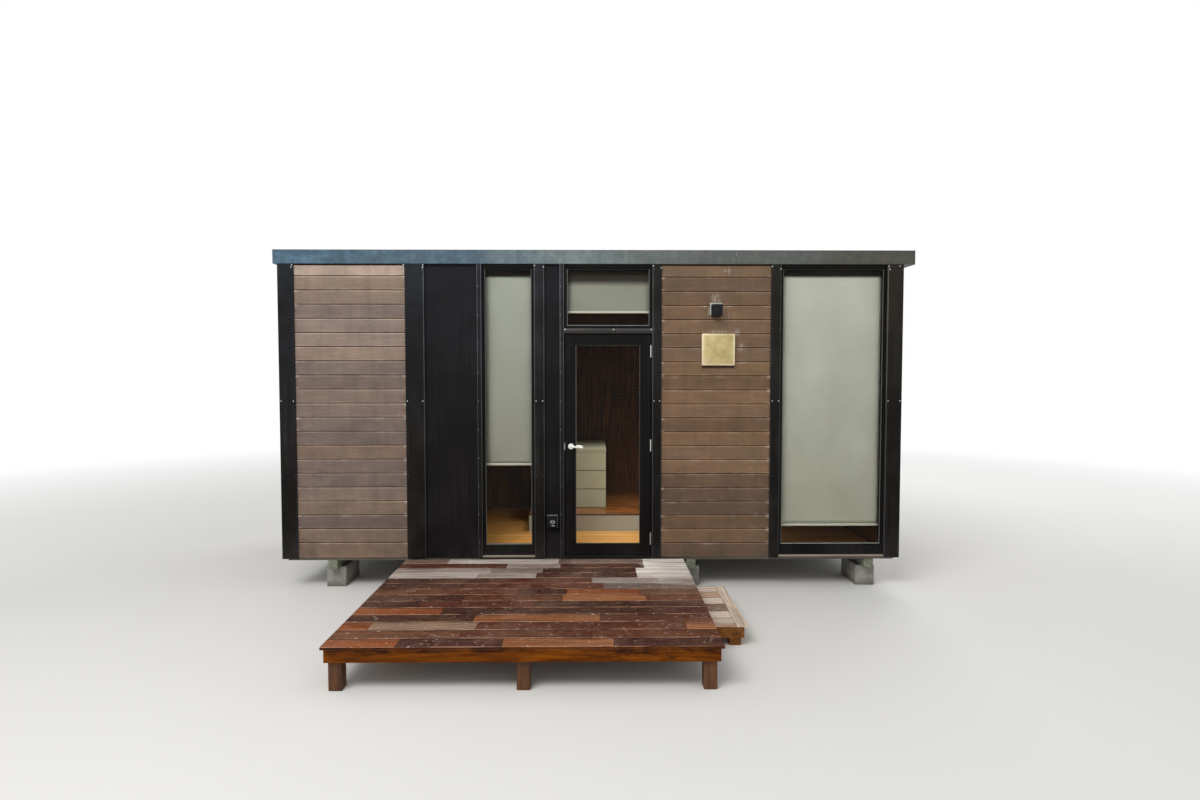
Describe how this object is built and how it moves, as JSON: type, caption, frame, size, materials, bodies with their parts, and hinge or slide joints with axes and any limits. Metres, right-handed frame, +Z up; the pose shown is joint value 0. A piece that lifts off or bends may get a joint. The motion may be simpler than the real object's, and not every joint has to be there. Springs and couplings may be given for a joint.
{
  "type": "garden office pod",
  "caption": "Flat-roofed timber-clad garden office pod on bearers and blocks, with full-height windows and blinds, a glazed outward door, a low deck and a side step.",
  "frame": {"origin": "on the ground, under the middle of the whole object's box, deck and roof fascia included", "axes": "+X to the right along the front, +Y from the deck towards the back wall, +Z up"},
  "size_m": [6.158, 4.591, 3.288],
  "materials": {
    "concrete": "rough cast concrete",
    "bearer_timber": "sawn, weathered",
    "floor_steel": "dull black paint",
    "floor_timber": "oiled, satin",
    "wall_lining": "timber-faced panel",
    "roof_core": "foam-cored panel",
    "roof_metal": "matt painted steel",
    "fascia_metal": "satin painted steel",
    "cladding_grey": "weathered grey-brown boards",
    "cladding_brown": "weathered brown boards",
    "black_panel": "flat black",
    "trim_metal": "satin black",
    "frame_black": "powder-coated black",
    "glass": "clear sealed unit",
    "hardware": "satin",
    "blind_box": "black",
    "blind_cloth": "plain woven roller cloth",
    "blind_bar": "satin",
    "light_black": "satin black",
    "sign_board": "dull gold, plain",
    "outlet_plastic": "charcoal",
    "deck_timber": "wet oiled hardwood, mixed boards",
    "frame_timber": "sawn treated pine",
    "fascia_timber": "amber stain",
    "step_timber": "weathered, mixed boards",
    "post_timber": "sawn treated pine",
    "platform_paint": "pale painted board",
    "drawer_paint": "sage-grey painted board"
  },
  "bodies": {
    "pod": {"pier_blocks": "concrete", "ground_bearers": "bearer_timber", "floor_panel": "floor_steel", "floor_boards": "floor_timber", "front_wall_left": "wall_lining", "front_wall_middle": "wall_lining", "front_wall_right": "wall_lining", "back_wall": "wall_lining", "left_wall": "wall_lining", "right_wall": "wall_lining", "roof_panel": "roof_core", "roof_sheet": "roof_metal", "roof_fascia": "fascia_metal", "front_cladding_left": "cladding_grey", "front_cladding_right": "cladding_brown", "side_cladding": "cladding_grey", "back_cladding": "cladding_grey", "flat_panels": "black_panel", "wall_trims": "trim_metal", "corner_trims": "trim_metal", "narrow_window_frame": "frame_black", "big_window_frame": "frame_black", "window_glass": "glass", "door_frame": "frame_black", "hinge_frame_halves": "hardware", "strike_plate": "hardware", "blind_boxes": "blind_box", "blind_cloths": "blind_cloth", "blind_bars": "blind_bar", "wall_light": "light_black", "sign_plate": "sign_board", "power_outlet": "outlet_plastic", "deck_boards": "deck_timber", "deck_joists": "frame_timber", "deck_fascia": "fascia_timber", "deck_posts": "post_timber", "step_boards": "step_timber", "step_frame": "fascia_timber", "inner_platform": "platform_paint", "drawer_unit": "drawer_paint"},
    "door": {"door_leaf": "frame_black", "door_glass": "glass", "hinge_door_halves": "hardware", "handle_roses": "hardware"},
    "lever": {"door_lever": "hardware"}
  },
  "joints": [
    {"name": "door_hinge", "type": "hinge", "parent": "pod", "child": "door", "pos_m": [0.5355, -0.1405, 1.41], "axis": [0, 0, 1], "range_deg": [0, 100]},
    {"name": "lever_turn", "type": "hinge", "parent": "door", "child": "lever", "pos_m": [-0.236, -0.1105, 1.401], "axis": [0, 1, 0], "range_deg": [0, 40], "stiffness_Nm_per_rad": 1.5, "springref_deg": -28.65}
  ]
}
